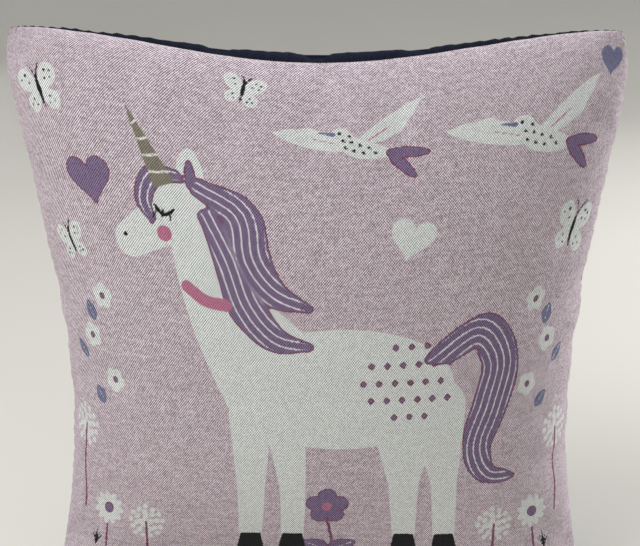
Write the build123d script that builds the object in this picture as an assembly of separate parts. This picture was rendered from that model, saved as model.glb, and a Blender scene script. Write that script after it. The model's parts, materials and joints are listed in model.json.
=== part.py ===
from build123d import *
import os
from math import asin, cos, degrees, pi, radians, sin, sqrt, tan

# Throw cushion: stuffed loose cover with a zip across the lower back.
# Millimetres.  +Z up, the picture side faces -Y, the seam plane is y = 0, the floor is z = 0.

# ---- driving dimensions: the stuffed shape ----
cushion_width = 430.0      # corner to corner across the top
cushion_height = 436.0     # floor to the top corners
corner_sink = 8.0          # how far the two lower corners are flattened by standing on them
half_thickness = 80.0      # seam plane to the crown of each side
side_pull = 0.139          # how far the sides draw in at the waist, share of the half width
end_pull = 0.077           # how far the top and bottom edges draw in, share of the half height
waist_drop = 0.156         # waist sits below the middle
belly = 0.06               # filling settles a little towards the bottom
seam_crease = 0.10         # 0 = round edge, larger = sharper crease at the seam
corner_ease_side = 0.06   # blunting of the four corners, sideways
corner_ease_end = 0.005   # and up and down
grid_points = 13

# ---- cloth, pad and seam ----
cover_cloth = 1.1
seam_gap = 0.05            # each panel stops this far from the seam plane
seam_allowance = 10.0
pad_rim = 13.0             # pad outline inside the cover outline
pad_crown = 3.65           # pad crown inside the cover's crown
pad_shift = -1.95          # pad sits forward, which leaves room for the slider behind it
pad_cloth = 0.6
thread = 0.5

# ---- zip ----
zip_height = 104.0         # zip line above the floor
zip_ease = 0.2             # shifts the zip arc to follow the cloth evenly
zip_lean = 12.0            # the cloth leans back this much at the zip
slot_half_length = 115.0
slot_half_width = 5.6
tape_reach = 16.0          # tape half width behind the panels
tape_gap = 0.1
tape_thickness = 0.7
tooth_pitch = 3.0
tooth_width = 1.5
tooth_inner = 0.5          # gap from the zip line to the tooth tips
tooth_outer = 2.9
tooth_rise = 1.6
tooth_bed = 0.6            # teeth are woven this deep into the tape
row_half_length = 108.0
stop_length = 2.4
slider_travel = 101.0      # slider centre either side of the middle
slider_length = 15.0
slider_half_width = 4.5
plate = 1.1
stitch_line = 10.0         # top stitching above and below the zip line
stitch_pitch = 3.5
stitch_length = 2.5

half_width = cushion_width / 2
half_height = (cushion_height + corner_sink) / 2
centre_height = half_height - corner_sink


def spread(angle):
    """Share of the half width or height reached at a surface angle."""
    return (1 - seam_crease) * sin(angle) + seam_crease * angle * 2 / pi


def unspread(share):
    """Surface angle at which a share is reached."""
    angle = share * pi / 2
    for _ in range(30):
        slope = (1 - seam_crease) * cos(angle) + seam_crease * 2 / pi
        angle -= (spread(angle) - share) / slope
    return angle


def side_factor(s, t):
    v = t + waist_drop * (1 - t * t)
    return (1 - side_pull * cos(pi / 2 * v)) * (1 - corner_ease_side * (s * t) ** 12)


def end_factor(s, t):
    return (1 - end_pull * cos(pi / 2 * s) ** 2) * (1 - corner_ease_end * (s * t) ** 12)


def skin_point(across, up, rim, face):
    """Point on one side of the stuffed shape, drawn in by rim at the edge and face at the crown."""
    s = spread(across)
    t = spread(up)
    x = (half_width - rim) * s * side_factor(s, t)
    z = centre_height + (half_height - rim) * t * end_factor(s, t)
    depth = (half_thickness - face) * cos(across) * cos(up) * (1 - belly * t)
    return x, depth, z


def depth_at(x, z, rim=0.0, face=0.0):
    """How far the skin stands off the seam plane at a place on it."""
    s = x / half_width
    t = (z - centre_height) / half_height
    for _ in range(60):
        s = x / ((half_width - rim) * side_factor(s, t))
        t = (z - centre_height) / ((half_height - rim) * end_factor(s, t))
    return skin_point(unspread(s), unspread(t), rim, face)[1]


def skin_face(rim, face, side):
    """Curved face of one side: side is -1 for the front and 1 for the back."""
    angles = [-pi / 2 + pi * i / (grid_points - 1) for i in range(grid_points)]
    rows = []
    for up in angles:
        row = []
        for across in angles:
            x, depth, z = skin_point(across, up, rim, face)
            on_edge = up in (angles[0], angles[-1]) or across in (angles[0], angles[-1])
            row.append((x, 0.0 if on_edge else side * depth, z))
        rows.append(row)
    return Face.make_surface_from_array_of_points(rows, tol=0.05, min_deg=3, max_deg=6)


def outline_wire(rim):
    """Seam outline of the stuffed shape drawn in by rim."""
    return Wire(skin_face(rim, rim, -1).outer_wire().edges())


def skin_solid(near, far, side, lift=0.0):
    """Cloth between two depths below the surface of one side."""
    outer = skin_face(near[0], near[1], side)
    inner = skin_face(far[0], far[1], side)
    outer_edge = Wire(outer.outer_wire().edges())
    inner_edge = Wire(inner.outer_wire().edges())
    edge = Face(outer_edge, [inner_edge])
    return Pos(0, side * lift, 0) * Solid(Shell([outer, inner, edge]))


def flat_ring(outer, inner, y0, y1):
    """Flat ring beside the seam plane between two inset outlines."""
    ring = Face(outline_wire(outer), [outline_wire(inner)])
    return Pos(0, y0, 0) * extrude(ring, amount=y1 - y0, dir=(0, 1, 0))


def above(level):
    """Everything above a level."""
    return Pos(0, 0, level) * Box(700, 500, 700, align=(Align.CENTER, Align.CENTER, Align.MIN))


# ---- the zip's own frame: it lies on an arc about an upright line behind the cushion ----
zip_inset = cover_cloth + tape_gap
zip_bow = depth_at(0, zip_height) - depth_at(slot_half_length, zip_height)
outer_radius = (slot_half_length ** 2 + zip_bow ** 2) / (2 * zip_bow)
arc_centre = depth_at(0, zip_height) + zip_ease - outer_radius
arc_radius = outer_radius - zip_inset / cos(radians(zip_lean))


def zip_place(along):
    """Location on the zip line: local x along it, -y up the cloth, z out of the cloth."""
    turn = asin(along / arc_radius)
    x = arc_radius * sin(turn)
    y = arc_centre + arc_radius * cos(turn)
    return Location((x, y, zip_height)) * Rotation(0, 0, -degrees(turn)) * Rotation(-90 - zip_lean, 0, 0)


def local_block(x0, x1, u0, u1, n0, n1):
    """Straight block in the zip's own frame: along, up the cloth, out of the cloth."""
    block = Box(x1 - x0, u1 - u0, n1 - n0)
    return Pos((x0 + x1) / 2, -(u0 + u1) / 2, (n0 + n1) / 2) * block


def zip_band(u0, u1, n0, n1, half_length):
    """Curved band following the zip line: up the cloth u0 to u1, out of the cloth n0 to n1."""
    lean = radians(zip_lean)
    corners = []
    for u, n in ((u0, n0), (u1, n0), (u1, n1), (u0, n1)):
        y = arc_centre + arc_radius + n * cos(lean) + u * sin(lean)
        corners.append((0, y, zip_height - n * sin(lean) + u * cos(lean)))
    turn = degrees(asin(half_length / arc_radius))
    axis = Axis((0, arc_centre, 0), (0, 0, 1))
    profile = Face(Wire.make_polygon(corners, close=True)).rotate(axis, -turn)
    return revolve(profile, axis=axis, revolution_arc=2 * turn)


def front_panel():
    """Picture side of the cover, its edge turned to the seam plane."""
    cloth = (cover_cloth, cover_cloth)
    return skin_solid((0, 0), cloth, -1, seam_gap) & above(0)


def back_panels():
    """Plain back of the cover, parted at the zip into an upper and a lower piece."""
    cloth = (cover_cloth, cover_cloth)
    whole = skin_solid((0, 0), cloth, 1, seam_gap) & above(0)
    whole = whole - zip_band(-slot_half_width, slot_half_width, -15, 15, slot_half_length)
    lower = whole & zip_band(-150, -0.03, -100, 60, 230)
    upper = whole - zip_band(-150, 0.03, -100, 60, 230)
    return upper, lower


def seam_allowance_ring():
    """The two turned-in cloth edges lying face to face inside the seam."""
    return flat_ring(cover_cloth + 0.7, seam_allowance, -0.9, 0.9) & above(cover_cloth + 0.7)


def zip_tape(up):
    """Woven tape behind one edge of the slot."""
    near = cover_cloth + tape_gap
    far = near + tape_thickness
    layer = skin_solid((near, near), (far, far), 1, seam_gap)
    low, high = (tooth_inner, tape_reach) if up else (-tape_reach, -tooth_inner)
    return layer & zip_band(low, high, -10, 10, slot_half_length + 6)


def tooth_row(up):
    """One row of zip teeth joined by the bead along the tape edge."""
    sign = 1 if up else -1
    low, high = sorted((sign * tooth_inner, sign * tooth_outer))
    bead_low, bead_high = sorted((sign * (tooth_outer - 0.7), sign * (tooth_outer + 0.1)))
    bead = zip_band(bead_low, bead_high, -tooth_bed, 0.6, row_half_length + 1)
    shift = 0.0 if up else tooth_pitch / 2
    teeth = []
    for k in range(int(2 * row_half_length / tooth_pitch)):
        along = -row_half_length + k * tooth_pitch + shift
        block = local_block(-tooth_width / 2, tooth_width / 2, low, high, -tooth_bed - 0.05, tooth_rise)
        teeth.append(zip_place(along) * block)
    return bead.fuse(*teeth)


def zip_stop(along):
    """Small metal crimp closing the end of both rows."""
    body = local_block(-stop_length / 2, stop_length / 2, -3.4, 3.4, -tooth_bed, tooth_rise + 0.5)
    body = fillet(body.edges().filter_by(Axis.Z), 0.6)
    return zip_place(along) * body


def slider_shape():
    """Slider body in the zip's own frame, nose towards -x."""
    top = tooth_rise + 0.6
    half = slider_length / 2
    upper = local_block(-half, half, -slider_half_width, slider_half_width, top, top + plate)
    upper = fillet(upper.edges().filter_by(Axis.Z), 2.2)
    under = -(tape_thickness + 1.0)
    lower = local_block(-half, half, -slider_half_width, slider_half_width, under - plate, under)
    lower = fillet(lower.edges().filter_by(Axis.Z), 2.2)
    bridge = local_block(-half + 1.0, -half + 4.5, -0.25, 0.25, under - 0.2, top + 0.2)
    body = upper + lower + bridge
    for sign in (-1, 1):
        rail_low, rail_high = sorted((sign * (slider_half_width - 0.8), sign * slider_half_width))
        body = body + local_block(-half + 2.4, half - 2.4, rail_low, rail_high, 1.2, top + 0.2)
        body = body + local_block(-half + 2.4, half - 2.4, rail_low, rail_high, under - 0.2, under + 0.4)
    crown = top + plate
    arch = local_block(-4.5, 4.5, -0.9, 0.9, crown - 0.2, crown + 3.4)
    arch = arch - local_block(-3.0, 3.0, -2, 2, crown + 0.3, crown + 2.4)
    arch = fillet(arch.edges().filter_by(Axis.Y).sort_by(Axis.Z)[-2:], 0.8)
    return body + arch


def zip_slider():
    return zip_place(-slider_travel) * slider_shape()


pin_height = tooth_rise + 0.6 + plate + 1.35


def zip_pull_tab():
    """Pull tab lying back along the zip, its top bar held in the slider's arch."""
    bar = Pos(0, 0, pin_height) * Rotation(90, 0, 0) * Cylinder(0.7, 5.0)
    left = local_block(-0.6, 6.0, 1.5, 2.6, pin_height - 0.6, pin_height + 0.6)
    right = local_block(-0.6, 6.0, -2.6, -1.5, pin_height - 0.6, pin_height + 0.6)
    leaf = local_block(5.5, 24.0, -2.6, 2.6, pin_height - 0.6, pin_height + 0.6)
    leaf = fillet(leaf.edges().filter_by(Axis.Z).sort_by(Axis.X)[-2:], 2.2)
    eye = Pos(19.5, 0, pin_height) * Cylinder(1.1, 4)
    return zip_place(-slider_travel) * (bar + left + right + leaf - eye)


def zip_stitching(offset):
    """Row of visible stitches holding the panel edge to the zip tape."""
    count = int(2 * (slot_half_length + 4) / stitch_pitch)
    stitches = []
    for k in range(count + 1):
        along = -slot_half_length - 4 + k * stitch_pitch
        low, high = offset - thread / 2, offset + thread / 2
        block = local_block(-stitch_length / 2, stitch_length / 2, low, high, zip_inset - 0.15, zip_inset + 0.35)
        stitches.append(zip_place(along) * fillet(block.edges().filter_by(Axis.Y), 0.2))
    return Compound(stitches)


def seam_stitching():
    """Line of stitching just inside the edge that joins front and back."""
    inset = seam_allowance - 1.6
    return flat_ring(inset, inset + thread, -1.3, -0.9) & above(0)


def pad_cover(side):
    """One side of the plain inner pad's own cover."""
    far = (pad_rim + pad_cloth, pad_crown + pad_cloth)
    return Pos(0, pad_shift, 0) * skin_solid((pad_rim, pad_crown), far, side, seam_gap)


def pad_filling():
    """Fibre filling of the pad."""
    gap = pad_cloth + 0.1
    front = skin_face(pad_rim + gap, pad_crown + gap, -1)
    return Pos(0, pad_shift, 0) * Solid(Shell([front, front.mirror(Plane.XZ)]))


def save(shape, name):
    shape.label = name
    export_step(shape, f"parts/{name}.step")


os.makedirs("parts", exist_ok=True)
save(front_panel(), "front_panel")
back_upper, back_lower = back_panels()
save(back_upper, "back_panel_upper")
save(back_lower, "back_panel_lower")
save(seam_allowance_ring(), "seam_allowance")
save(seam_stitching(), "seam_stitching")
save(zip_tape(True), "zip_tape_upper")
save(zip_tape(False), "zip_tape_lower")
save(tooth_row(True), "zip_teeth_upper")
save(tooth_row(False), "zip_teeth_lower")
save(zip_stop(-row_half_length - 3.2), "zip_top_stop")
save(zip_stop(row_half_length + 3.2), "zip_bottom_stop")
save(zip_stitching(stitch_line), "zip_stitching_upper")
save(zip_stitching(-stitch_line), "zip_stitching_lower")
save(zip_slider(), "zip_slider")
save(zip_pull_tab(), "zip_pull_tab")
save(pad_cover(-1), "pad_cover_front")
save(pad_cover(1), "pad_cover_back")
save(pad_filling(), "pad_filling")
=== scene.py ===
import json
import math
import bmesh
import bpy
import numpy as np
from mathutils import Matrix, Vector


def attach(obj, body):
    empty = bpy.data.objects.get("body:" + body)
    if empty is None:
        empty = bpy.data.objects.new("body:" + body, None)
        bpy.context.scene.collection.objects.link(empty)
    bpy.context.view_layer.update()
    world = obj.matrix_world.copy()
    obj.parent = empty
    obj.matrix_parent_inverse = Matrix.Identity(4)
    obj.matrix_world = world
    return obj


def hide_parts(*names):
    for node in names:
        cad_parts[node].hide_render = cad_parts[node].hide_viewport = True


# Throw cushion: stuffed cover with a woven picture front and a plain navy back with a zip.
# Metres, +Z up, the picture faces -Y.  Cloth places are flat millimetres (u right, v up) from its middle.

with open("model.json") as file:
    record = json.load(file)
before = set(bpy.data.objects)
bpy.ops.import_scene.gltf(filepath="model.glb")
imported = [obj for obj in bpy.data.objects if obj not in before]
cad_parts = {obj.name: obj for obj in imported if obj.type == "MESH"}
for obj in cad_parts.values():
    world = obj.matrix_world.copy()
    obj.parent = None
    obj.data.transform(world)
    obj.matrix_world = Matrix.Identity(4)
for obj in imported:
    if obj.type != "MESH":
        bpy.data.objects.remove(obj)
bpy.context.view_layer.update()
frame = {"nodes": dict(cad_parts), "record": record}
rng = np.random.default_rng(7)

# ---------------------------------------------------------------- the stuffed shape
WIDTH, SINK, CROWN = 0.430, 0.008, 0.080
HALF_W = WIDTH / 2
HALF_H = (0.436 + SINK) / 2
MID = HALF_H - SINK
SIDE_PULL, END_PULL, WAIST, BELLY, CREASE = 0.139, 0.077, 0.156, 0.06, 0.10
EASE_SIDE, EASE_END = 0.06, 0.005
CLOTH = 225.0          # half of the flat cloth, mm
SEAM_FORWARD = 0.16    # the top seam sits this far (radians) in front of the crest


def spread(a):
    return (1 - CREASE) * np.sin(a) + CREASE * a * 2 / np.pi


def skin(a, b):
    """Point of the stuffed shape at angles across and up; past a right angle goes round to the other side."""
    s, t = spread(a), spread(b)
    over = np.abs(b) > np.pi / 2
    t = np.where(over, spread(np.sign(b) * np.pi - b), t)
    v = t + WAIST * (1 - t * t)
    corner = (s * t) ** 12
    x = HALF_W * s * (1 - SIDE_PULL * np.cos(np.pi / 2 * v)) * (1 - EASE_SIDE * corner)
    z = MID + HALF_H * t * (1 - END_PULL * np.cos(np.pi / 2 * s) ** 2) * (1 - EASE_END * corner)
    y = CROWN * np.cos(a) * np.cos(b) * (1 - BELLY * t)
    return np.stack([x, y, z], -1)


def arc_table(along):
    a = np.linspace(-np.pi / 2, np.pi / 2, 1201)
    p = skin(a, a * 0) if along == "u" else skin(a * 0, a)
    run = np.r_[0, np.cumsum(np.linalg.norm(np.diff(p, axis=0), axis=1))]
    return (run / run[-1] * 2 - 1) * CLOTH, a


U_TAB, V_TAB = arc_table("u"), arc_table("v")


def angles(u, v, side):
    """Surface angles of a place on the flat cloth; side -1 front, 1 back."""
    a = np.interp(u, *U_TAB)
    b = np.interp(v, *V_TAB)
    lift = SEAM_FORWARD * np.cos(np.clip(u / CLOTH, -1, 1) * np.pi / 2) ** 2
    share = np.clip(v / CLOTH, 0, 1) ** 3
    return a, b + side * lift * share


def stuffed(u, v, side):
    a, b = angles(u, v, side)
    p = skin(a, b)
    p[..., 1] *= side
    return p


def grid_matrix(coarse, fine):
    """Cubic weights that carry values from one set of grid places to a finer one."""
    step = coarse[1] - coarse[0]
    w = np.zeros((len(fine), len(coarse)))
    f = np.clip((fine - coarse[0]) / step, 0, len(coarse) - 1 - 1e-9)
    i = f.astype(int)
    r = f - i
    taps = (-0.5 * r + r ** 2 - 0.5 * r ** 3, 1 - 2.5 * r ** 2 + 1.5 * r ** 3,
            0.5 * r + 2 * r ** 2 - 1.5 * r ** 3, -0.5 * r ** 2 + 0.5 * r ** 3)
    for k, tap in zip((-1, 0, 1, 2), taps):
        np.add.at(w, (np.arange(len(fine)), np.clip(i + k, 0, len(coarse) - 1)), tap)
    return w


def blur_matrix(n, sigma):
    d = np.arange(n)[:, None] - np.arange(n)[None, :]
    g = np.exp(-0.5 * (d / sigma) ** 2)
    return g / g.sum(1, keepdims=True)


def fade(distance, near, far):
    s = np.clip((distance - near) / (far - near), 0, 1)
    return 1 - s * s * (3 - 2 * s)


def new_object(name, verts, faces):
    mesh = bpy.data.meshes.new(name)
    mesh.from_pydata([tuple(map(float, p)) for p in verts], [], faces)
    mesh.validate()
    mesh.polygons.foreach_set("use_smooth", [True] * len(mesh.polygons))
    obj = bpy.data.objects.new(name, mesh)
    bpy.context.collection.objects.link(obj)
    return obj


# ---------------------------------------------------------------- wrinkles from a cloth simulation
SIM = 72                            # squares along each side of the simulated cloth
SIM_FRAMES = 35
START_BUMP, START_RIM = 0.0003, 218 # uneven start: height (m) and how far out it goes (mm)
DEEPEST = {-1: 0.0022, 1: 0.0045}   # the thick picture cloth creases less than the plain back
SPARE, SPARE_REACH = 0.08, 60.0     # extra cloth near the seam, and how far in it reaches (mm)


def simulated():
    """How the inflated flat cloth departs from the stuffed shape, for the front and the back."""
    g = np.linspace(-CLOTH, CLOTH, SIM + 1)
    u, v = np.meshgrid(g, g)
    n = SIM + 1
    base = {side: stuffed(u, v, side) for side in (-1, 1)}
    front_id = np.arange(n * n).reshape(n, n)
    back_id = front_id.copy()
    inner = (slice(1, -1), slice(1, -1))
    back_id[inner] = n * n + np.arange((n - 2) ** 2).reshape(n - 2, n - 2)
    soft = blur_matrix(n, 1.4)
    start = {}
    for side in (-1, 1):
        bumps = soft @ rng.normal(size=(n, n)) @ soft.T
        bumps = (bumps / bumps.std() * START_BUMP)[..., None]
        start[side] = base[side] + [0, 1, 0] * bumps * (np.abs(u) < START_RIM)[..., None] \
            * (np.abs(v) < START_RIM)[..., None]
    verts = np.r_[start[-1].reshape(-1, 3), start[1][inner].reshape(-1, 3)]
    faces = []
    for ids, turn in ((front_id, 1), (back_id, -1)):
        quads = np.stack([ids[:-1, :-1], ids[:-1, 1:], ids[1:, 1:], ids[1:, :-1]], -1).reshape(-1, 4)
        faces += quads[:, ::turn].tolist()
    obj = new_object("cloth_run", verts, faces)
    edge_near = np.exp(-(CLOTH - np.maximum(np.abs(u), np.abs(v))) / SPARE_REACH)
    spare = obj.vertex_groups.new(name="spare")
    for i, w in enumerate(np.r_[edge_near.ravel(), edge_near[inner].ravel()]):
        spare.add([i], float(w), "REPLACE")
    held = obj.vertex_groups.new(name="held")
    edge = np.unique(np.r_[front_id[0], front_id[-1], front_id[:, 0], front_id[:, -1]])
    held.add([int(i) for i in edge], 1.0, "REPLACE")
    cloth = obj.modifiers.new("cloth", "CLOTH")
    c = cloth.settings
    c.vertex_group_shrink = "spare"
    c.shrink_min = -0.01
    c.shrink_max = -SPARE
    c.vertex_group_mass = "held"
    c.pin_stiffness = 1.0
    c.quality = 5
    c.mass = 0.004
    c.tension_stiffness = c.compression_stiffness = 60
    c.shear_stiffness = 10
    c.bending_stiffness = 0.08
    c.tension_damping = c.compression_damping = 1
    c.bending_damping = 0.1
    c.air_damping = 1
    c.use_pressure = True
    c.uniform_pressure_force = 20.0
    c.effector_weights.gravity = 0
    cloth.collision_settings.use_collision = False
    cloth.point_cache.frame_start = 1
    cloth.point_cache.frame_end = 60
    scene = bpy.context.scene
    for f in range(1, SIM_FRAMES + 1):
        scene.frame_set(f)
    deps = bpy.context.evaluated_depsgraph_get()
    done = obj.evaluated_get(deps).data
    co = np.empty(len(verts) * 3)
    done.vertices.foreach_get("co", co)
    co = co.reshape(-1, 3)
    scene.frame_set(1)
    bpy.data.objects.remove(obj, do_unlink=True)
    return g, {-1: co[front_id] - base[-1], 1: co[back_id] - base[1]}


sim_g, sim_move = simulated()


def wrinkles(side, u_line, v_line):
    """The simulation's wrinkles on a finer grid: what changes along the nearest seam, not the swelling."""
    along, fine = blur_matrix(SIM + 1, 5.0), blur_matrix(SIM + 1, 0.75)
    wu, wv = grid_matrix(sim_g, u_line), grid_matrix(sim_g, v_line)
    u, v = np.meshgrid(sim_g, sim_g)
    share = np.clip(0.5 + (np.abs(v) - np.abs(u)) / 120, 0, 1)
    most = DEEPEST[side]
    out = []
    for k in range(3):
        m = sim_move[side][..., k]
        m = (m - m @ along.T) * share + (m - along @ m) * (1 - share)
        m = most * np.tanh(fine @ m @ fine.T / most)
        out.append(wv @ m @ wu.T)
    return np.stack(out, -1)


# ---------------------------------------------------------------- the woven picture
# Own generic design.  Every shape is a signed distance in flat millimetres, painted into
# one of eight thread colours that lie over each other in this order.
LAYERS = ("white", "purple", "plum", "rose", "pale", "horn", "dark", "glint")
FRONT_N = 315
front_line = np.linspace(-CLOTH, CLOTH, FRONT_N + 1)
CU, CV = np.meshgrid(front_line, front_line)
CU, CV = CU.ravel(), CV.ravel()
picture = {name: np.full(CU.shape, 9.0) for name in LAYERS}
picture["hair"] = np.full(CU.shape, 9.0)       # inside the locks of mane and tail
picture["flow"] = np.zeros(CU.shape)           # distance across a lock from its middle line


def paint(layer, points, distance):
    """Adds a shape whose distance is worked out only near it."""
    pts = np.asarray(points, float).reshape(-1, 2)
    near = np.flatnonzero((CU > pts[:, 0].min() - 7) & (CU < pts[:, 0].max() + 7)
                          & (CV > pts[:, 1].min() - 7) & (CV < pts[:, 1].max() + 7))
    if len(near):
        picture[layer][near] = np.minimum(picture[layer][near], distance(CU[near], CV[near]))


def smooth(points, closed=False, n=7):
    """Points along a smooth curve through the given ones."""
    p = np.asarray(points, float)
    if closed:
        p = np.r_[p[-1:], p, p[:2]]
    else:
        p = np.r_[2 * p[:1] - p[1:2], p, 2 * p[-1:] - p[-2:-1]]
    out = []
    for i in range(1, len(p) - 2):
        a, b, c, d = p[i - 1:i + 3]
        for t in np.arange(n) / n:
            out.append(0.5 * (2 * b + (c - a) * t + (2 * a - 5 * b + 4 * c - d) * t * t
                              + (3 * b - a - 3 * c + d) * t ** 3))
    if not closed:
        out.append(p[-2])
    return np.array(out)


def stroke(layer, points, widths, curved=True):
    """Line of changing half width through points."""
    w = np.atleast_1d(np.asarray(widths, float))
    p = smooth(points) if curved and len(points) > 2 else np.asarray(points, float)
    w = np.interp(np.linspace(0, 1, len(p)), np.linspace(0, 1, len(w)), w)

    def distance(x, y):
        best = np.full(x.shape, 99.0)
        for i in range(len(p) - 1):
            ax, ay = p[i]
            bx, by = p[i + 1] - p[i]
            t = np.clip(((x - ax) * bx + (y - ay) * by) / max(bx * bx + by * by, 1e-9), 0, 1)
            best = np.minimum(best, np.hypot(x - ax - t * bx, y - ay - t * by) - w[i] - t * (w[i + 1] - w[i]))
        return best

    spread_pts = np.r_[p - w.max(), p + w.max()]
    paint(layer, spread_pts, distance)


def blob(layer, points, curved=True, grow=0.0):
    """Filled closed outline."""
    p = smooth(points, True) if curved else np.asarray(points, float)

    def distance(x, y):
        best = np.full(x.shape, 1e9)
        inside = np.zeros(x.shape, bool)
        for (ax, ay), (bx, by) in zip(p, np.roll(p, -1, 0)):
            dx, dy = bx - ax, by - ay
            t = np.clip(((x - ax) * dx + (y - ay) * dy) / max(dx * dx + dy * dy, 1e-9), 0, 1)
            best = np.minimum(best, (x - ax - t * dx) ** 2 + (y - ay - t * dy) ** 2)
            if ay != by:
                inside ^= ((ay > y) != (by > y)) & (x < (bx - ax) * (y - ay) / (by - ay) + ax)
        return np.where(inside, -1, 1) * np.sqrt(best) - grow

    paint(layer, p, distance)


def lock(outline, guide):
    """Lock of hair: purple, with fine pale lines running beside its guide line."""
    blob("purple", outline)
    keep = picture["hair"].copy()
    blob("hair", outline, grow=-1.5)
    new = np.flatnonzero((picture["hair"] < keep) & (picture["hair"] < 4))
    p = smooth(guide)
    x, y = CU[new], CV[new]
    best, flow = np.full(x.shape, 1e9), np.zeros(x.shape)
    for (ax, ay), (bx, by) in zip(p[:-1], p[1:]):
        dx, dy = bx - ax, by - ay
        t = np.clip(((x - ax) * dx + (y - ay) * dy) / (dx * dx + dy * dy), 0, 1)
        d = np.hypot(x - ax - t * dx, y - ay - t * dy)
        side = np.sign(dx * (y - ay) - dy * (x - ax))
        flow = np.where(d < best, d * side, flow)
        best = np.minimum(best, d)
    picture["flow"][new] = flow


def place(points, at, size=1.0, turn=0.0):
    """Points of a small motif, scaled, turned in degrees and moved."""
    p = np.asarray(points, float) * size
    c, s = math.cos(math.radians(turn)), math.sin(math.radians(turn))
    return p @ np.array([[c, s], [-s, c]]) + at


def dot(layer, at, r):
    stroke(layer, [at, (at[0] + 0.01, at[1])], [r], curved=False)


def oval(layer, at, rx, ry, turn=0.0):
    k = np.linspace(0, 2 * np.pi, 14, endpoint=False)
    blob(layer, place(np.stack([rx * np.cos(k), ry * np.sin(k)], -1), at, 1, turn))


def diamond(layer, at, r):
    x, y = at
    blob(layer, [(x - r, y), (x, y + r), (x + r, y), (x, y - r)], curved=False)


def heart(layer, at, size, turn=0.0):
    k = np.linspace(0, 2 * np.pi, 40, endpoint=False)
    x = 16 * np.sin(k) ** 3 / 17
    y = (13 * np.cos(k) - 5 * np.cos(2 * k) - 2 * np.cos(3 * k) - np.cos(4 * k)) / 17
    blob(layer, place(np.stack([x, y], -1), at, size, turn), curved=False)


def butterfly(at, size, turn):
    """Four spotted wings seen from the side, a slim body and two feelers."""
    def at_(p):
        return place(p, at, size, turn)
    blob("white", at_([(0.02, 0.0), (0.1, 0.55), (0.5, 1.0), (0.95, 0.85), (0.9, 0.35), (0.45, 0.05)]))
    blob("white", at_([(-0.05, 0.0), (-0.15, 0.55), (-0.6, 0.95), (-1.0, 0.7), (-0.85, 0.2), (-0.4, 0.0)]))
    blob("white", at_([(0.05, 0.0), (0.45, 0.0), (0.8, -0.2), (0.75, -0.6), (0.4, -0.7), (0.1, -0.35)]))
    blob("white", at_([(-0.05, 0.0), (-0.45, -0.02), (-0.75, -0.3), (-0.6, -0.7), (-0.3, -0.65),
                       (-0.05, -0.3)]))
    stroke("dark", at_([(-0.03, 0.42), (0.0, 0.1), (0.04, -0.55)]), np.array([0.07, 0.1, 0.04]) * size)
    for sx in (-1, 1):
        stroke("dark", at_([(-0.02, 0.4), (0.12 * sx, 0.8), (0.32 * sx, 1.05)]), [0.7, 0.6])
    for x, y, r in ((0.5, 0.72, 0.07), (0.74, 0.66, 0.06), (0.4, 0.42, 0.06), (0.68, 0.42, 0.05),
                    (-0.55, 0.66, 0.07), (-0.78, 0.52, 0.05), (-0.42, 0.36, 0.06), (0.42, -0.24, 0.06),
                    (0.58, -0.4, 0.05), (0.34, -0.48, 0.05), (-0.4, -0.24, 0.06), (-0.55, -0.42, 0.05),
                    (-0.3, -0.46, 0.05)):
        dot("dark", tuple(at_([(x, y)])[0]), max(r * size, 0.85))


def leaf(layer, at, length, turn, width=0.3):
    blob(layer, place([(0, 0), (width, 0.28), (width * 1.05, 0.6), (0, 1.0), (-width * 1.05, 0.6),
                       (-width, 0.28)], at, length, turn))
    stroke("pale", place([(0, 0.12), (0, 0.85)], at, length, turn), [0.35], curved=False)


def flower(at, r, petals, turn=0.0, heart_layer="purple", fat=0.42, petal_layer="white", centre=0.3):
    for k in range(petals):
        a = turn + 360 * k / petals
        blob(petal_layer, place([(0, 0.05), (fat * 0.8, 0.4), (fat, 0.72), (fat * 0.45, 1.0),
                                 (-fat * 0.45, 1.0), (-fat, 0.72), (-fat * 0.8, 0.4)], at, r, a))
    dot(heart_layer, at, r * centre)


def umbel(at, r, foot, bend=0.0, spokes=10):
    """Round seed head: rings of small dots on fine spokes above a thin stem."""
    mid = ((at[0] + foot[0]) / 2 + bend, (at[1] + foot[1]) / 2)
    stroke("purple", [at, mid, foot], [0.6, 0.75])
    for k in range(spokes // 2):
        a = 4 * np.pi * k / spokes + 0.3
        tip = (at[0] + 0.7 * r * math.cos(a), at[1] + 0.7 * r * math.sin(a))
        stroke("white", [at, tip], [0.7], curved=False)
    for ring, count in ((1.0, spokes + 3), (0.66, spokes - 2), (0.3, 4)):
        for k in range(count):
            a = 2 * np.pi * (k + 0.4 * ring) / count
            far = r * ring * (1.0 + 0.06 * math.sin(5 * a))
            dot("white", (at[0] + far * math.cos(a), at[1] + far * math.sin(a)), 2.1)


def tuft(at, size, blades=5):
    for k in range(blades):
        lean = (k - (blades - 1) / 2) / blades
        high = size * (1.0 - 0.55 * abs(lean))
        half_way = (at[0] + lean * size * 0.6, at[1] + high * 0.55)
        tip = (at[0] + lean * size * 1.7, at[1] + high)
        stroke("dark", [at, half_way, tip], [0.75, 0.6, 0.25])


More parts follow.
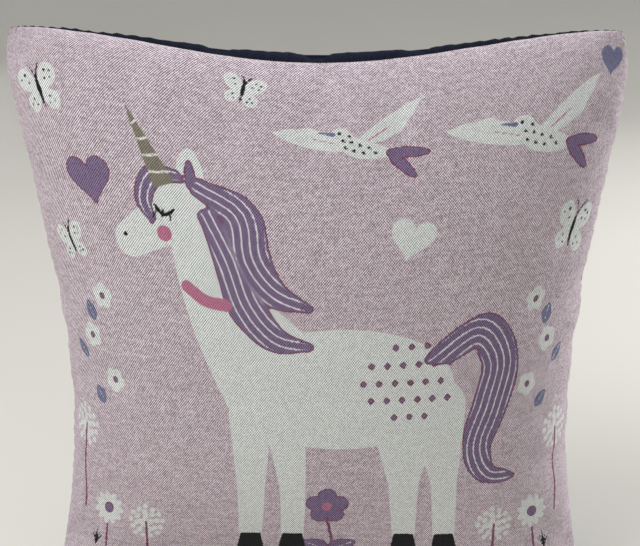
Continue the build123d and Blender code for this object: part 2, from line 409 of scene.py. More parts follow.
def bird(at, size, near_wing, far_wing, tail):
    """Small bird in flight, drawn to its two wing tips and its tail tip (all flat mm)."""
    at = np.array(at, float)

    def p(q):
        return place(q, at, size)

    def wing(root, tip, width, feathers):
        root, tip = np.array(root, float), np.array(tip, float)
        run = tip - root
        side = np.array([-run[1], run[0]]) / np.hypot(*run) * width
        low = [root + run * t - side * (0.9 * math.sin(math.pi * min(t * 1.15, 1)) + 0.14 * (k % 2))
               for k, t in enumerate(np.linspace(0.12, 0.9, feathers))]
        high = [root + side * 0.35, root + run * 0.35 + side * 0.62, root + run * 0.75 + side * 0.5, tip]
        blob("white", high + low[::-1])
        stroke("rose", [root + run * 0.1 - side * 0.1, root + run * 0.42 - side * 0.15], [0.5], curved=False)
    wing(p([(-0.1, -0.02)])[0], near_wing, size * 0.24, 7)
    wing(p([(0.16, 0.02)])[0], far_wing, size * 0.24, 7)
    blob("white", p([(-0.22, 0.34), (-0.08, 0.31), (0.06, 0.16), (0.3, 0.05), (0.56, -0.06), (0.74, -0.2),
                     (0.52, -0.28), (0.2, -0.27), (-0.06, -0.17), (-0.22, 0.02), (-0.34, 0.16),
                     (-0.32, 0.29)]))
    root = p([(0.6, -0.14)])[0]
    for turn in (-0.42, 0.24):
        run = np.array(tail) - root
        c, s = math.cos(turn), math.sin(turn)
        run = np.array([run[0] * c - run[1] * s, run[0] * s + run[1] * c])
        side = np.array([-run[1], run[0]]) * 0.13
        blob("purple", [root, root + run * 0.4 + side, root + run * 0.9 + side * 0.8, root + run * 1.08,
                        root + run * 0.85 - side * 0.8, root + run * 0.35 - side])
    stroke("plum", p([(-0.3, 0.22), (-0.56, 0.27)]), [1.5, 0.9, 0.5], curved=False)
    dot("dark", tuple(p([(-0.2, 0.24)])[0]), 1.3)
    for x, y in ((-0.14, 0.1), (0.0, 0.06), (0.14, 0.0), (0.3, -0.06), (-0.1, -0.04), (0.04, -0.1),
                 (0.2, -0.15), (0.4, -0.16), (-0.04, 0.18)):
        q = p([(x, y)])[0]
        stroke("dark", [tuple(q), (q[0] + 1.3, q[1] - 1.1)], [1.15, 0.6], curved=False)


def tress(points, widths):
    """Lock of hair along a centre line, with a half width at each point."""
    line = smooth(points)
    half = np.interp(np.linspace(0, 1, len(line)), np.linspace(0, 1, len(widths)), widths)
    run = np.gradient(line, axis=0)
    side = np.stack([-run[:, 1], run[:, 0]], -1) / np.hypot(run[:, 0], run[:, 1])[:, None] * half[:, None]
    step = max(1, len(line) // 10)
    lock(np.r_[(line + side)[::step], (line - side)[::-1][::step]], points)


def unicorn():
    """Plain storybook unicorn facing left, standing square on four straight legs."""
    # tail behind the body
    tress([(75, 10), (110, 30), (130, 10), (125, -20), (115, -50), (125, -72), (148, -75)],
          [5, 12, 15, 15, 12, 8, 2])
    for hip, knee, foot, widths in (((-25, -30), (-20, -80), (-20, -125), (14, 9, 8)),
                                    ((85, -20), (90, -75), (90, -125), (20, 10, 8)),
                                    ((-50, -25), (-50, -80), (-50, -125), (15, 10, 8)),
                                    ((60, -25), (60, -75), (60, -125), (24, 11, 8))):
        stroke("white", [hip, knee, foot], widths)
        hoof = place([(-0.8, 1.0), (0.8, 1.0), (1.1, -0.8), (-1.1, -0.8)], (foot[0], foot[1] - 5), 9)
        blob("dark", hoof, curved=False)
    oval("white", (15, -5), 80, 42)
    stroke("white", [(-35, 5), (-65, 50), (-80, 100)], [38, 25, 18])
    oval("white", (-88, 108), 22, 19, 20)
    stroke("white", [(-90, 106), (-125, 85)], [17, 11], curved=False)
    # horn, ear and face
    blob("horn", [(-104, 120), (-90, 126), (-120, 175)], curved=False)
    for k in range(4):
        y = 131 + 10 * k
        stroke("glint", [(-103 - 0.29 * (y - 120), y - 1), (-91 - 0.6 * (y - 126), y + 1)], [0.8],
               curved=False)
    blob("white", [(-86, 118), (-88, 138), (-80, 150), (-72, 138), (-72, 118)])
    blob("purple", [(-82, 124), (-83, 136), (-80, 142), (-77, 135), (-77, 124)])
    stroke("dark", [(-105, 110), (-99, 104), (-92, 108)], [0.9, 1.2, 0.9])
    for k in range(3):
        stroke("dark", [(-104 + 5 * k, 107 - abs(k - 1)), (-107 + 6 * k, 102 - abs(k - 1))], [0.8, 0.5],
               curved=False)
    dot("dark", (-128, 88), 1.5)
    dot("rose", (-100, 92), 5)
    # mane, a plain neck band and spots laid out by rule
    tress([(-78, 126), (-50, 110), (-45, 80), (-30, 60), (-5, 50)], [5, 13, 15, 10, 2])
    tress([(-72, 110), (-58, 80), (-48, 50), (-30, 30), (-5, 25)], [5, 11, 13, 9, 2])
    tress([(-84, 130), (-104, 128), (-112, 112), (-106, 98)], [3, 7, 6, 2])
    stroke("rose", [(-88, 60), (-76, 52), (-62, 50)], [4])
    for row in range(5):
        for col in range(6):
            x, y = 30 + 11 * col + 5.5 * (row % 2), 24 - 12 * row
            if ((x - 62) / 34) ** 2 + (y / 30) ** 2 < 1:
                diamond("purple", (x, y), 2.4)


def scenery():
    """Small motifs of the same kind left and right, set out on a simple plan."""
    bird((135, 150), 42, (75, 165), (185, 185), (185, 135))
    bird((20, 160), 36, (-30, 170), (65, 190), (65, 145))
    for at, size, turn in (((-180, 170), 18, 15), ((-45, 195), 13, -15),
                           ((180, 85), 18, -15), ((-175, 75), 13, 15)):
        butterfly(at, size, turn)
    for layer, at, size, turn in (("purple", (-150, 120), 18, 10), ("white", (60, 95), 16, -15),
                                  ("plum", (195, 195), 14, -10)):
        heart(layer, at, size, turn)
    for side in (-1, 1):
        for k in range(3):
            x, y = side * (155 + 15 * (k % 2)), 45 - 28 * k
            flower((x, y), 8, 5, 20 * k, "purple", 0.44, "white", 0.24)
            leaf("plum", (x + side * 10, y - 18), 14, -side * (20 + 10 * k))
        umbel((side * 190, -50), 13, (side * 190, -115), 2 * side)
        umbel((side * 130, -115), 13, (side * 130, -165), -2 * side)
        flower((side * 165, -110), 14, 11, 8, "purple", 0.19, "white", 0.3)
        stroke("purple", [(side * 165, -125), (side * 163, -160)], [0.7], curved=False)
        tuft((side * 175, -145), 15)
        tuft((side * 95, -150), 14)
    # centre flower between the legs, then a flowery border along the bottom
    flower((5, -95), 15, 5, 0, "rose", 0.42, "purple", 0.25)
    stroke("purple", [(5, -108), (8, -128), (6, -150)], [0.8])
    leaf("purple", (6, -140), 22, 60)
    leaf("purple", (6, -140), 22, -60)
    for k in range(9):
        x = -200 + 50 * k
        flower((x + 20, -180), 10, 5, 15 * k, "purple", 0.46, "white", 0.22)
        stroke("purple", [(x + 20, -186), (x + 20, -215)], [0.6], curved=False)
        leaf("plum", (x + 20, -200), 14, 50 - 100 * (k % 2))
        tuft((x, -200), 15)


scenery()
unicorn()


# ---------------------------------------------------------------- materials
def lin(r, g, b):
    """Linear colour of an sRGB one given 0 to 255."""
    def one(c):
        c = c / 255
        return c / 12.92 if c <= 0.04045 else ((c + 0.055) / 1.055) ** 2.4
    return (one(r), one(g), one(b), 1.0)


class Graph:
    """Short way to write a node material."""

    def __init__(self, name):
        self.mat = bpy.data.materials.new(name)
        self.mat.use_nodes = True
        self.tree = self.mat.node_tree
        self.bsdf = self.tree.nodes["Principled BSDF"]

    def put(self, socket, value):
        if isinstance(value, bpy.types.NodeSocket):
            self.tree.links.new(value, socket)
        else:
            socket.default_value = value

    def node(self, kind, out=0, props=None, **inputs):
        n = self.tree.nodes.new(kind)
        for k, v in (props or {}).items():
            setattr(n, k, v)
        for k, v in inputs.items():
            self.put(n.inputs[int(k[1:]) if k[0] == "i" and k[1:].isdigit() else k], v)
        return n.outputs[out]

    def math(self, op, a, b=0.0, c=0.0, clamp=False):
        return self.node("ShaderNodeMath", props={"operation": op, "use_clamp": clamp}, i0=a, i1=b, i2=c)

    def mix(self, fac, a, b):
        n = self.tree.nodes.new("ShaderNodeMix")
        n.data_type = "RGBA"
        for i, v in ((0, fac), (6, a), (7, b)):
            self.put(n.inputs[i], v)
        return n.outputs[2]

    def attr(self, name):
        return self.node("ShaderNodeAttribute", out=2, props={"attribute_name": name})

    def cloth_uv(self):
        """Flat millimetres from the cloth's lower left corner."""
        uv = self.node("ShaderNodeUVMap", props={"uv_map": "cloth"})
        sep = self.tree.nodes.new("ShaderNodeSeparateXYZ")
        self.put(sep.inputs[0], uv)
        return tuple(self.math("MULTIPLY", sep.outputs[k], 2 * CLOTH) for k in (0, 1))

    def noise(self, vector, scale, detail=3.0, rough=0.5):
        return self.node("ShaderNodeTexNoise", Vector=vector, Scale=scale, Detail=detail, Roughness=rough)

    def vec(self, x, y, z=0.0):
        return self.node("ShaderNodeCombineXYZ", i0=x, i1=y, i2=z)

    def bump(self, height, strength, distance):
        return self.node("ShaderNodeBump", Height=height, Strength=strength, Distance=distance)

    def finish(self, color, roughness, normal=None, sheen=0.0, metallic=0.0, specular=0.5):
        self.put(self.bsdf.inputs["Base Color"], color)
        self.put(self.bsdf.inputs["Roughness"], roughness)
        self.bsdf.inputs["Metallic"].default_value = metallic
        self.bsdf.inputs["Specular IOR Level"].default_value = specular
        self.bsdf.inputs["Sheen Weight"].default_value = sheen
        self.bsdf.inputs["Sheen Roughness"].default_value = 0.5
        if normal is not None:
            self.put(self.bsdf.inputs["Normal"], normal)
        return self.mat


WARP, WEFT = 1.67, 2.05     # mm between like threads across and up
HAIR_LINE = 5.2             # mm between the pale lines of mane and tail
THREADS = {                 # light and dark thread of each woven colour
    "white": ((255, 255, 255), (96, 110, 108)),
    "purple": ((152, 130, 168), (4, 0, 12)),
    "plum": ((150, 152, 186), (18, 18, 48)),
    "rose": ((206, 136, 164), (120, 52, 84)),
    "pale": ((240, 238, 240), (160, 152, 164)),
    "horn": ((154, 148, 132), (44, 40, 32)),
    "dark": ((26, 26, 30), (6, 6, 8)),
    "glint": ((226, 222, 220), (160, 156, 154)),
    "edge": ((136, 60, 90), (84, 34, 62)),
}
GROUND = ((0.0, (52, 36, 42)), (0.3, (122, 102, 112)), (0.55, (176, 157, 168)), (0.8, (212, 198, 208)),
          (1.0, (255, 250, 255)))


def picture_cloth():
    g = Graph("picture_jacquard")
    u, v = g.cloth_uv()
    tu, tv = g.math("DIVIDE", u, WARP), g.math("DIVIDE", v, WEFT)
    rising = g.math("COSINE", g.math("MULTIPLY", g.math("SUBTRACT", tu, tv), 2 * math.pi))
    falling = g.math("COSINE", g.math("MULTIPLY", g.math("ADD", tu, tv), 2 * math.pi))
    lattice = g.math("ADD", g.math("MULTIPLY", rising, 0.31), g.math("MULTIPLY", falling, 0.17))
    cell = g.vec(g.math("FLOOR", g.math("MULTIPLY", tu, 2.0)), g.math("FLOOR", g.math("MULTIPLY", tv, 2.0)))
    grain = g.node("ShaderNodeTexWhiteNoise", props={"noise_dimensions": "2D"}, Vector=cell)
    spun = g.math("SUBTRACT", grain, 0.5)
    weave = g.math("ADD", g.math("ADD", 0.42, g.math("MULTIPLY", lattice, -1.3)),
                   g.math("MULTIPLY", spun, 0.24), clamp=True)
    ribbed = g.math("ADD", g.math("ADD", 0.5, g.math("MULTIPLY", rising, -0.4)),
                    g.math("MULTIPLY", spun, 0.2), clamp=True)
    ragged = g.math("MULTIPLY", spun, 0.55)
    broad = g.noise(g.vec(u, v), 0.02, 4.0)

    # ground: threads of several tones showing as fine specks over the weave
    slub = g.noise(g.vec(g.math("MULTIPLY", u, 0.25), v), 0.35, 2.0)
    speck = g.math("ADD", g.math("MULTIPLY", spun, 0.32), g.math("MULTIPLY", lattice, 1.15))
    speck = g.math("ADD", speck, g.math("MULTIPLY", g.math("SUBTRACT", slub, 0.5), 0.3))
    ramp = g.tree.nodes.new("ShaderNodeValToRGB")
    stops = ramp.color_ramp.elements
    stops[0].color, stops[1].color = lin(*GROUND[0][1]), lin(*GROUND[-1][1])
    for pos, col in GROUND[1:-1]:
        stops.new(pos).color = lin(*col)
    g.put(ramp.inputs[0], g.math("ADD", speck, 0.57))
    color = g.mix(g.math("MULTIPLY", broad, 0.2), ramp.outputs[0], lin(190, 172, 182))

    def over(color, name, sd, fac_line, feather=0.42):
        light, dark = THREADS[name]
        body = g.mix(fac_line, lin(*light), lin(*dark))
        fac = g.math("SUBTRACT", 0.5, g.math("DIVIDE", g.math("ADD", sd, ragged), feather), clamp=True)
        return g.mix(fac, color, body)

    color = over(color, "white", g.attr("white"), weave)
    color = over(color, "edge", g.math("SUBTRACT", g.attr("purple"), 0.35), weave)
    color = over(color, "purple", g.math("ADD", g.attr("purple"), 0.35), weave)
    across = g.math("MULTIPLY", g.math("ABSOLUTE", g.math("SUBTRACT", g.math("FRACT", g.math(
        "DIVIDE", g.attr("flow"), HAIR_LINE)), 0.5)), HAIR_LINE)
    color = over(color, "pale", g.math("MAXIMUM", g.attr("hair"), g.math("SUBTRACT", across, 0.5)), weave)
    color = over(color, "plum", g.attr("plum"), ribbed)
    color = over(color, "rose", g.attr("rose"), weave)
    color = over(color, "pale", g.attr("pale"), g.math("MULTIPLY", weave, 0.6))
    color = over(color, "horn", g.attr("horn"), weave)
    color = over(color, "dark", g.attr("dark"), weave)
    color = over(color, "glint", g.attr("glint"), g.math("MULTIPLY", weave, 0.5))

    plump = g.math("MULTIPLY", g.math("MINIMUM", g.attr("white"), g.attr("purple")), -0.6, clamp=True)
    height = g.math("ADD", g.math("MULTIPLY", lattice, 1.2), g.math("MULTIPLY", plump, 0.5))
    rough = g.math("ADD", 0.74, g.math("MULTIPLY", grain, 0.18))
    return g.finish(color, rough, g.bump(height, 0.35, 0.0002), sheen=0.05, specular=0.2)


SEAM_SHADE = 26.0           # mm of painted shade beside a seam: the cloth colour is darkened there to stand in for shade


def plain_cloth(name, light, dark, thread=0.62, strength=0.5, sheen=0.1):
    """Plain twill: two tones of one colour, thread relief, a little lint and painted shade beside the seams.
    """
    g = Graph(name)
    u, v = g.cloth_uv()
    tu, tv = g.math("DIVIDE", u, thread), g.math("DIVIDE", v, thread)
    cell = g.vec(g.math("FLOOR", tu), g.math("FLOOR", tv))
    grain = g.node("ShaderNodeTexWhiteNoise", props={"noise_dimensions": "2D"}, Vector=cell)
    twill = g.math("FRACT", g.math("DIVIDE", g.math("ADD", tu, tv), 3.0))
    line = g.math("SUBTRACT", g.math("ABSOLUTE", g.math("SUBTRACT", twill, 0.5)), 0.08)
    line = g.math("MULTIPLY", line, 3.0, clamp=True)
    weave = g.math("ADD", g.math("MULTIPLY", line, 0.6), g.math("MULTIPLY", grain, 0.4))
    broad = g.noise(g.vec(u, v), 0.018, 4.0)
    color = g.mix(weave, lin(*light), lin(*dark))
    color = g.mix(g.math("MULTIPLY", broad, 0.35), color, lin(*dark))
    slub = g.noise(g.vec(g.math("MULTIPLY", u, 0.9), g.math("MULTIPLY", v, 0.07)), 1.0, 2.0)
    slub = g.math("MULTIPLY", g.math("SUBTRACT", slub, 0.5), 1.1, clamp=True)
    color = g.mix(slub, color, lin(*[min(255, c + 26) for c in light]))
    lint = g.math("GREATER_THAN", g.noise(g.vec(u, v), 0.9, 2.0), 0.74)
    color = g.mix(g.math("MULTIPLY", lint, 0.25), color, lin(*[min(255, c + 40) for c in light]))
    # painted shade: within SEAM_SHADE mm of each seam the colour is pulled towards the dark tone, standing in
    # for shade
    rim = g.math("MINIMUM", g.math("MINIMUM", u, g.math("SUBTRACT", 2 * CLOTH, u)),
                 g.math("MINIMUM", v, g.math("SUBTRACT", 2 * CLOTH, v)))
    painted_seam_shade = g.math("SUBTRACT", 1.0, g.math("DIVIDE", rim, SEAM_SHADE), clamp=True)
    color = g.mix(g.math("MULTIPLY", painted_seam_shade, 0.9), color, lin(*dark))
    warp = g.math("SINE", g.math("MULTIPLY", tu, 2 * math.pi))
    weft = g.math("SINE", g.math("MULTIPLY", tv, 2 * math.pi))
    height = g.math("ADD", g.math("MULTIPLY", g.math("MULTIPLY", warp, weft), 0.4), line)
    rough = g.math("ADD", 0.78, g.math("MULTIPLY", grain, 0.15))
    return g.finish(color, rough, g.bump(height, strength, 0.0002), sheen=sheen, specular=0.12)


def hard_finish(name, base, worn, metallic, rough, scale=900.0):
    """Lacquered metal or moulded nylon: fine grain, rubbed patches and small scratches."""
    g = Graph(name)
    pos = g.node("ShaderNodeTexCoord", out=3)
    grime = g.noise(pos, scale * 0.25, 5.0, 0.6)
    fine = g.noise(pos, scale, 2.0, 0.5)
    stretch = g.node("ShaderNodeMapping", Vector=pos, Scale=(scale * 0.1, scale * 1.2, scale * 1.2))
    scratch = g.math("GREATER_THAN", g.noise(stretch, 1.0, 2.0, 0.4), 0.66)
    worn_fac = g.math("MULTIPLY", g.math("SUBTRACT", grime, 0.5), 2.2, clamp=True)
    color = g.mix(worn_fac, lin(*base), lin(*worn))
    color = g.mix(g.math("MULTIPLY", scratch, 0.35), color, lin(*[min(255, c + 30) for c in worn]))
    roughness = g.math("ADD", rough, g.math("MULTIPLY", grime, 0.2))
    height = g.math("ADD", fine, g.math("MULTIPLY", scratch, -0.5))
    return g.finish(color, roughness, g.bump(height, 0.25, 0.0001), metallic=metallic)


def thread_finish(name, light, dark):
    """Twisted sewing thread."""
    g = Graph(name)
    pos = g.node("ShaderNodeTexCoord", out=3)
    wave = g.node("ShaderNodeTexWave", out=1, props={"wave_type": "BANDS", "bands_direction": "DIAGONAL"},
                  Vector=pos, Scale=900.0, Distortion=0.6)
    fuzz = g.noise(pos, 1600.0, 3.0, 0.6)
    tone = g.math("ADD", g.math("MULTIPLY", wave, 0.6), g.math("MULTIPLY", fuzz, 0.4))
    color = g.mix(tone, lin(*dark), lin(*light))
    return g.finish(color, 0.7, g.bump(wave, 0.5, 0.0001), sheen=0.1, specular=0.3)


def tape_finish(name, light, dark):
    """Ribbed zip tape, ribs along the zip."""
    g = Graph(name)
    pos = g.node("ShaderNodeTexCoord", out=3)
    sep = g.tree.nodes.new("ShaderNodeSeparateXYZ")
    g.put(sep.inputs[0], pos)
    rib = g.math("SINE", g.math("MULTIPLY", sep.outputs[2], 2 * math.pi / 0.0009))
    pick = g.math("SINE", g.math("MULTIPLY", sep.outputs[0], 2 * math.pi / 0.0007))
    mixv = g.math("ADD", g.math("MULTIPLY", rib, 0.35), g.math("MULTIPLY", pick, 0.25))
    fuzz = g.noise(pos, 700.0, 3.0, 0.6)
    tone = g.math("ADD", g.math("ADD", mixv, 0.25), g.math("MULTIPLY", fuzz, 0.4), clamp=True)
    color = g.mix(tone, lin(*dark), lin(*light))
    return g.finish(color, 0.82, g.bump(mixv, 0.6, 0.00018), sheen=0.08, specular=0.25)


# ---------------------------------------------------------------- the two cloth pieces
ZIP_Z = 0.104          # height of the zip's middle
ARC_R, ARC_Y = 0.48457, -0.41567      # the zip bends round this upright axis
LEAN = math.radians(12)
HANG, HANG_FROM = 0.016, 0.16         # the part above HANG_FROM leans a little to the left
SLOT_HALF, SLOT_RISE = 115.0, 5.6     # half length and half height of the zip's slot, mm
FLAT_FOOT = 0.004                     # cloth lower than this is pressed flat on the floor
PUCKER_PITCH = 9.4                    # mm between puckers at the seam
PUCKER_GAIN, FOLD_GAIN = {-1: 0.6, 1: 1.0}, {-1: 1.6, 1: 3.0}
FOLDS = (           # listed creases: side, from, to, half width, depth, in flat mm, negative sinks in
    (-1, (2, 225), (6, 168), 9, -1.6), (-1, (-30, 225), (-24, 186), 10, -0.9),
    (-1, (40, 225), (34, 180), 11, -0.8), (-1, (225, 48), (160, 26), 9, -1.8),
    (-1, (225, 26), (168, 14), 7, 1.0), (-1, (225, 4), (150, -8), 10, -1.7),
    (-1, (225, -32), (166, -46), 9, -1.4), (-1, (225, -70), (140, -92), 12, -1.6),
    (-1, (205, -150), (120, -96), 14, -2.0), (-1, (-225, 40), (-166, 22), 9, -1.6),
    (-1, (-225, 6), (-158, -6), 9, -1.5), (-1, (-225, -40), (-170, -50), 9, -1.3),
    (-1, (-210, -150), (-130, -92), 14, -2.0), (-1, (-225, 120), (-180, 104), 8, -0.9),
    (-1, (225, 130), (182, 112), 8, -0.9), (-1, (-150, -12), (150, -14), 9, -0.5),
    (-1, (-190, 190), (-140, 140), 12, -1.0), (-1, (190, 190), (140, 140), 12, -1.0),
    (1, (0, 225), (-8, 160), 10, -1.6), (1, (-225, 30), (-150, 16), 10, -1.8),
    (1, (225, 20), (150, 4), 10, -1.8), (1, (-225, -30), (-160, -38), 9, -1.4),
    (1, (225, -40), (158, -48), 9, -1.4), (1, (-190, 190), (-110, 110), 14, -1.6),
    (1, (190, 190), (110, 110), 14, -1.6), (1, (-60, 225), (-52, 178), 9, -1.0),
    (1, (64, 225), (56, 180), 9, -1.0),
)


def fold_height(side, u, v):
    h = np.zeros(u.shape)
    for face, a, b, half, depth in FOLDS:
        if face != side:
            continue
        d = np.array(b, float) - a
        t = np.clip(((u - a[0]) * d[0] + (v - a[1]) * d[1]) / (d @ d), 0, 1)
        away = np.hypot(u - a[0] - t * d[0], v - a[1] - t * d[1]) / half
        h += FOLD_GAIN[side] * depth * (1 - t) ** 1.3 * (1 - 0.35 * away ** 2) * np.exp(-0.9 * away ** 2)
    return h


def seam_wave(x, z):
    """How far the seam wanders to the front or back of the middle plane."""
    return 0.0010 * np.sin(43 * z + 9 * x + 0.5) + 0.0008 * np.sin(37 * x - 19 * z + 2.0)


def outward(p):
    across, up = np.gradient(p, axis=1), np.gradient(p, axis=0)
    n = np.cross(across, up)
    return n / np.maximum(np.linalg.norm(n, axis=-1, keepdims=True), 1e-12)


def shaped(side, u_line, v_line, u, v):
    """Final place of every point of one side's cloth."""
    plain = stuffed(u, v, side)
    p = plain + wrinkles(side, u_line, v_line)
    n = outward(p)
    n *= np.sign((n[..., 1:2] * side).sum() or 1)
    edge = CLOTH - np.maximum(np.abs(u), np.abs(v))
    run = np.where(np.abs(u) > np.abs(v), v, u)
    uneven = 0.75 + 0.45 * np.sin(run / 13 + 2 * side) * np.sin(run / 37 + 1)
    pucker = np.sin(2 * np.pi * run / PUCKER_PITCH + 1.6 * np.sin(run / 23 + side)) * np.exp(-edge / 9) \
        * (1 - np.exp(-edge / 1.5))
    pucker = pucker * uneven * PUCKER_GAIN[side]
    roll = -0.9 * np.exp(-(edge / 2.2) ** 2)
    height = (fold_height(side, u, v) * (1 - np.exp(-edge / 5)) + pucker) / 1000
    p = p + n * height[..., None]
    centre = np.array([0, 0, MID])
    inward = centre - p
    inward[..., 1] = 0
    inward /= np.maximum(np.linalg.norm(inward, axis=-1, keepdims=True), 1e-9)
    p = p - inward * (roll / 1000)[..., None]
    p[..., 1] += seam_wave(plain[..., 0], plain[..., 2]) * np.exp(-edge / 30)
    if side > 0:
        w = fade(np.abs(plain[..., 2] - ZIP_Z), 0.022, 0.055) * fade(np.abs(plain[..., 0]), 0.128, 0.16)
        p = p * (1 - w[..., None]) + plain * w[..., None]
        # pulled onto the zip's own curve, so that tapes and top stitching lie against it
        w = fade(np.abs(p[..., 2] - ZIP_Z), 0.014, 0.034) * fade(np.abs(p[..., 0]), 0.118, 0.15)
        radius = ARC_R + (p[..., 2] - ZIP_Z) * math.tan(LEAN)
        p[..., 1] += w * (ARC_Y + np.sqrt(radius ** 2 - p[..., 0] ** 2) - p[..., 1])
    p[..., 0] -= HANG * np.maximum(p[..., 2] - HANG_FROM, 0)
    pressed = FLAT_FOOT * np.exp(np.minimum(p[..., 2] - FLAT_FOOT, 0) / FLAT_FOOT)
    p[..., 2] = np.where(p[..., 2] < FLAT_FOOT, pressed, p[..., 2])
    return p


def cloth_mesh(name, p, u, v, side, mat):
    rows, cols = u.shape
    ids = np.arange(rows * cols).reshape(rows, cols)
    quads = np.stack([ids[:-1, :-1], ids[:-1, 1:], ids[1:, 1:], ids[1:, :-1]], -1).reshape(-1, 4)
    mesh = bpy.data.meshes.new(name)
    mesh.vertices.add(rows * cols)
    mesh.vertices.foreach_set("co", p.ravel())
    mesh.loops.add(quads.size)
    mesh.loops.foreach_set("vertex_index", (quads if side < 0 else quads[:, ::-1]).ravel())
    mesh.polygons.add(len(quads))
    mesh.polygons.foreach_set("loop_start", np.arange(0, quads.size, 4))
    mesh.update(calc_edges=True)
    mesh.polygons.foreach_set("use_smooth", [True] * len(quads))
    layer = mesh.uv_layers.new(name="cloth")
    loops = np.empty(quads.size, int)
    mesh.loops.foreach_get("vertex_index", loops)
    uv = np.stack([u.ravel() + CLOTH, v.ravel() + CLOTH], -1) / (2 * CLOTH)
    layer.data.foreach_set("uv", uv[loops].ravel())
    obj = bpy.data.objects.new(name, mesh)
    bpy.context.collection.objects.link(obj)
    obj.data.materials.append(mat)
    return obj


def front_cover():
    u, v = np.meshgrid(front_line, front_line)
    p = shaped(-1, front_line, front_line, u, v)
    obj = cloth_mesh("front_cover", p, u, v, -1, picture_cloth())
    for name in LAYERS + ("hair", "flow"):
        a = obj.data.attributes.new(name, "FLOAT", "POINT")
        a.data.foreach_set("value", picture[name].astype(np.float32))
    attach(obj, "cover")
    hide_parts("front_panel")
    return obj


def back_cover(mat):
    # rows bunch at the slot's two edges, and each column's rows slide so that the slot is level
    fine = np.linspace(-CLOTH, CLOTH, 2401)
    even = np.linspace(-CLOTH, CLOTH, 151)
    u_line = even.copy()
    at_zip = []
    for col in u_line:
        z = stuffed(np.full_like(fine, col), fine, 1)[:, 2]
        lower = fine < 60
        at_zip.append(np.interp(ZIP_Z, z[lower], fine[lower]))
    at_zip = np.array(at_zip)
    mid = at_zip[len(at_zip) // 2]
    step = 3.0

    def rows_to(seam):
        near = (SLOT_RISE, SLOT_RISE + 0.9, SLOT_RISE + 2.4)
        return np.r_[near, np.arange(SLOT_RISE + 4.8, seam - 1.6, step)]
    above_rows, below_rows = mid + rows_to(CLOTH - mid), mid - rows_to(CLOTH + mid)
    v_line = np.r_[-CLOTH, below_rows[::-1], above_rows, CLOTH]
    # the columns at the slot's ends
    x_mid = stuffed(u_line, at_zip, 1)[:, 0] * 1000
    for end in (-SLOT_HALF, SLOT_HALF):
        k = int(np.argmin(np.abs(x_mid - end)))
        u_line[k] += (end - x_mid[k]) * (u_line[k + 1] - u_line[k]) / (x_mid[k + 1] - x_mid[k])
    at_zip = np.interp(u_line, even, at_zip)
    u, v = np.meshgrid(u_line, v_line)
    shift = (at_zip - mid)[None, :] * fade(np.abs(v - mid), 14, 85)
    v = v + np.where(np.abs(np.abs(v) - CLOTH) < 1e-6, 0, shift)
    p = shaped(1, u_line, v_line, u, v)
    obj = cloth_mesh("back_cover", p, u, v, 1, mat)
    rows = np.flatnonzero(np.isclose(v_line, mid - SLOT_RISE))[0]
    mesh = obj.data
    cols = len(u_line)
    x = stuffed(u_line, at_zip, 1)[:, 0] * 1000
    inside = np.flatnonzero((x[:-1] > -SLOT_HALF - 0.6) & (x[1:] < SLOT_HALF + 0.6))
    slot_faces = set((rows * (cols - 1) + inside).tolist())
    bm = bmesh.new()
    bm.from_mesh(mesh)
    bm.faces.ensure_lookup_table()
    bmesh.ops.delete(bm, geom=[bm.faces[i] for i in slot_faces], context="FACES")
    bm.verts.ensure_lookup_table()
    rim = [e for e in bm.edges if e.is_boundary and all(
        abs(q.co.x) < 0.1165 and abs(q.co.z - ZIP_Z) < 0.012 and q.co.y > 0.02 for q in e.verts)]
    # turned-under hem: over the fold, then flat behind the edge
    for sink, back in ((0.0005, -0.0003), (0.0006, 0.0003), (0.0002, 0.004)):
        made = bmesh.ops.extrude_edge_only(bm, edges=rim)["geom"]
        new_verts = [g for g in made if isinstance(g, bmesh.types.BMVert)]
        for q in new_verts:
            turn = math.asin(max(-0.99, min(0.99, q.co.x / ARC_R)))
            n = Vector((math.sin(turn) * math.cos(LEAN), math.cos(turn) * math.cos(LEAN), -math.sin(LEAN)))
            up = Vector((0, 0, 1)) if q.co.z > ZIP_Z else Vector((0, 0, -1))
            q.co -= n * sink
            q.co += up * back
        rim = [g for g in made if isinstance(g, bmesh.types.BMEdge)
               and g.is_boundary and all(w in set(new_verts) for w in g.verts)]
    bm.to_mesh(mesh)
    bm.free()
    mesh.polygons.foreach_set("use_smooth", [True] * len(mesh.polygons))
    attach(obj, "cover")
    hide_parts("back_panel_upper", "back_panel_lower")
    return obj


def seam_copies():
    """The folded-in seam edges and their stitches, hanging with the cover."""
    for node in ("seam_allowance", "seam_stitching"):
        mesh = frame["nodes"][node].data.copy()
        co = np.empty(len(mesh.vertices) * 3)
        mesh.vertices.foreach_get("co", co)
        co = co.reshape(-1, 3)
        co[:, 1] += seam_wave(co[:, 0], co[:, 2])
        co[:, 0] -= HANG * np.maximum(co[:, 2] - HANG_FROM, 0)
        mesh.vertices.foreach_set("co", co.ravel())
        mesh.update()
        name = "folded_" + node
        mesh.name = name
        obj = bpy.data.objects.new(name, mesh)
        bpy.context.collection.objects.link(obj)
        mesh.materials.clear()
        mesh.materials.append(finishes[slots[node]])
        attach(obj, "cover")
        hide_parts(node)


PAD_SHARE = (0.925, 0.93, 0.925)      # the pad's size as a share of the cover's


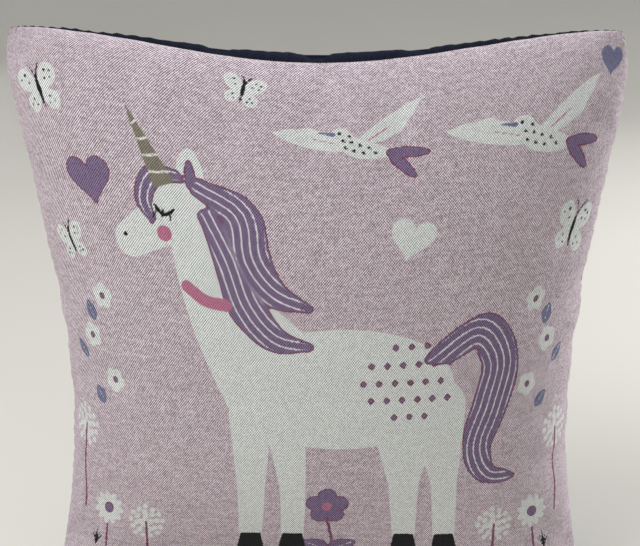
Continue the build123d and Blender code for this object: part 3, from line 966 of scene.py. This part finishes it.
def inner_pad(mat):
    """The plain pad inside, a closed crowned form a little smaller than the cover."""
    g = np.linspace(-CLOTH, CLOTH, 61)
    u, v = np.meshgrid(g, g)
    for side in (-1, 1):
        p = (stuffed(u, v, side) - [0, 0, MID]) * PAD_SHARE
        lump = 0.0007 * np.sin(u / 17 + 0.6 * np.sin(v / 31)) * np.sin(v / 19 + side)
        lump = lump * fade(np.maximum(np.abs(u), np.abs(v)), 150, 215)
        p = p + [0, -0.0015, MID]
        p[..., 1] += side * lump
        p[..., 1] += side * 0.0003
        obj = cloth_mesh("pad_front" if side < 0 else "pad_back", p, u, v, side, mat)
        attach(obj, "cover")
        if side < 0:
            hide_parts("pad_cover_front", "pad_filling")
        else:
            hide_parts("pad_cover_back")


navy = plain_cloth("navy_twill", (42, 54, 88), (4, 8, 22), thread=0.95, sheen=0.0)
front_cover()
back_cover(navy)
inner_pad(plain_cloth("pad_cotton", (232, 231, 226), (206, 204, 198), thread=0.45))

finishes = {
    "zip_tape": tape_finish("zip_tape_weave", (34, 44, 74), (12, 18, 38)),
    "zip_coil": hard_finish("nylon_coil", (30, 40, 70), (58, 70, 104), 0.0, 0.34),
    "zip_metal": hard_finish("lacquered_zinc", (96, 100, 110), (176, 178, 184), 0.9, 0.26),
    "thread": thread_finish("navy_thread", (44, 56, 92), (14, 20, 42)),
    "navy_cloth": tape_finish("navy_selvedge", (30, 42, 74), (10, 16, 36)),
}
slots = {s["node"]: s["material_slot"] for s in frame["record"]["subparts"]}
seam_copies()
for node, obj in frame["nodes"].items():
    if slots.get(node) in finishes and not obj.hide_render:
        obj.data.materials.clear()
        obj.data.materials.append(finishes[slots[node]])

# ---------------------------------------------------------------- floor, light, camera
def stage_sheet():
    """Pale round floor whose rim curves up into a low wall far from the cushion."""
    flat, bend, top, around = 2.3, 1.7, 2.6, 72
    path = [(r, 0.0) for r in (0.4, 0.9, 1.6, flat)]
    path += [(flat + bend * math.sin(a), bend - bend * math.cos(a))
             for a in np.linspace(0.08, math.pi / 2, 20)]
    path += [(flat + bend, h) for h in (2.1, top)]
    verts = [(0.0, 0.0, 0.0)]
    verts += [(r * math.cos(2 * math.pi * k / around), r * math.sin(2 * math.pi * k / around), z)
              for r, z in path for k in range(around)]
    faces = [(0, 1 + k, 1 + (k + 1) % around) for k in range(around)]
    for ring in range(len(path) - 1):
        start = 1 + ring * around
        for k in range(around):
            after = (k + 1) % around
            faces.append((start + k, start + around + k, start + around + after, start + after))
    obj = new_object("floor", verts, faces)
    g = Graph("pale_floor")
    pos = g.node("ShaderNodeTexCoord", out=3)
    tone = g.noise(pos, 1.2, 3.0)
    g.finish(g.mix(tone, lin(196, 193, 186), lin(204, 202, 196)), 0.9, specular=0.2)
    obj.data.materials.append(g.mat)


stage_sheet()


def area_light(name, place_at, aim, size, power, colour=(1, 1, 1)):
    data = bpy.data.lights.new(name, "AREA")
    data.shape = "RECTANGLE"
    data.size, data.size_y = size
    data.energy = power
    data.color = colour
    obj = bpy.data.objects.new(name, data)
    bpy.context.collection.objects.link(obj)
    obj.location = place_at
    obj.rotation_mode = "QUATERNION"
    obj.rotation_quaternion = (Vector(aim) - Vector(place_at)).to_track_quat("-Z", "Y")


area_light("key", (-1.7, -1.0, 1.9), (0, 0, 0.25), (1.3, 1.0), 43, (1.0, 1.0, 0.99))
area_light("fill", (1.6, -1.9, 0.7), (0, 0, 0.2), (1.8, 1.6), 6, (0.95, 0.98, 1.0))
area_light("top", (-0.2, 0.2, 2.3), (0, 0, 0.3), (1.4, 1.2), 12, (1.0, 1.0, 0.99))
area_light("behind", (2.1, 0.9, 1.5), (0, 0, 0.2), (0.4, 0.5), 56)
area_light("behind_fill", (-1.6, 2.0, 0.8), (0, 0, 0.2), (1.4, 1.4), 6)
world = bpy.data.worlds.new("studio")
bpy.context.scene.world = world
world.use_nodes = True
world.node_tree.nodes["Background"].inputs[0].default_value = (0.94, 0.97, 1.0, 1)
world.node_tree.nodes["Background"].inputs[1].default_value = 0.29
bpy.context.scene.view_settings.view_transform = "Standard"

TILT, FAR, AIM_UP, ROLL = math.radians(18.8), 0.719, 0.0492, math.radians(0.44)
cam_data = bpy.data.cameras.new("camera")
cam_data.lens = 56.25
cam_data.sensor_width = 36.0
camera = bpy.data.objects.new("camera", cam_data)
bpy.context.collection.objects.link(camera)
ahead = Vector((0, math.cos(TILT), -math.sin(TILT)))
camera.location = Vector((-0.0014, 0, MID + AIM_UP)) - ahead * FAR
camera.rotation_mode = "QUATERNION"
camera.rotation_quaternion = ahead.to_track_quat("-Z", "Y") @ Matrix.Rotation(ROLL, 4, "Z").to_quaternion()
bpy.context.scene.camera = camera
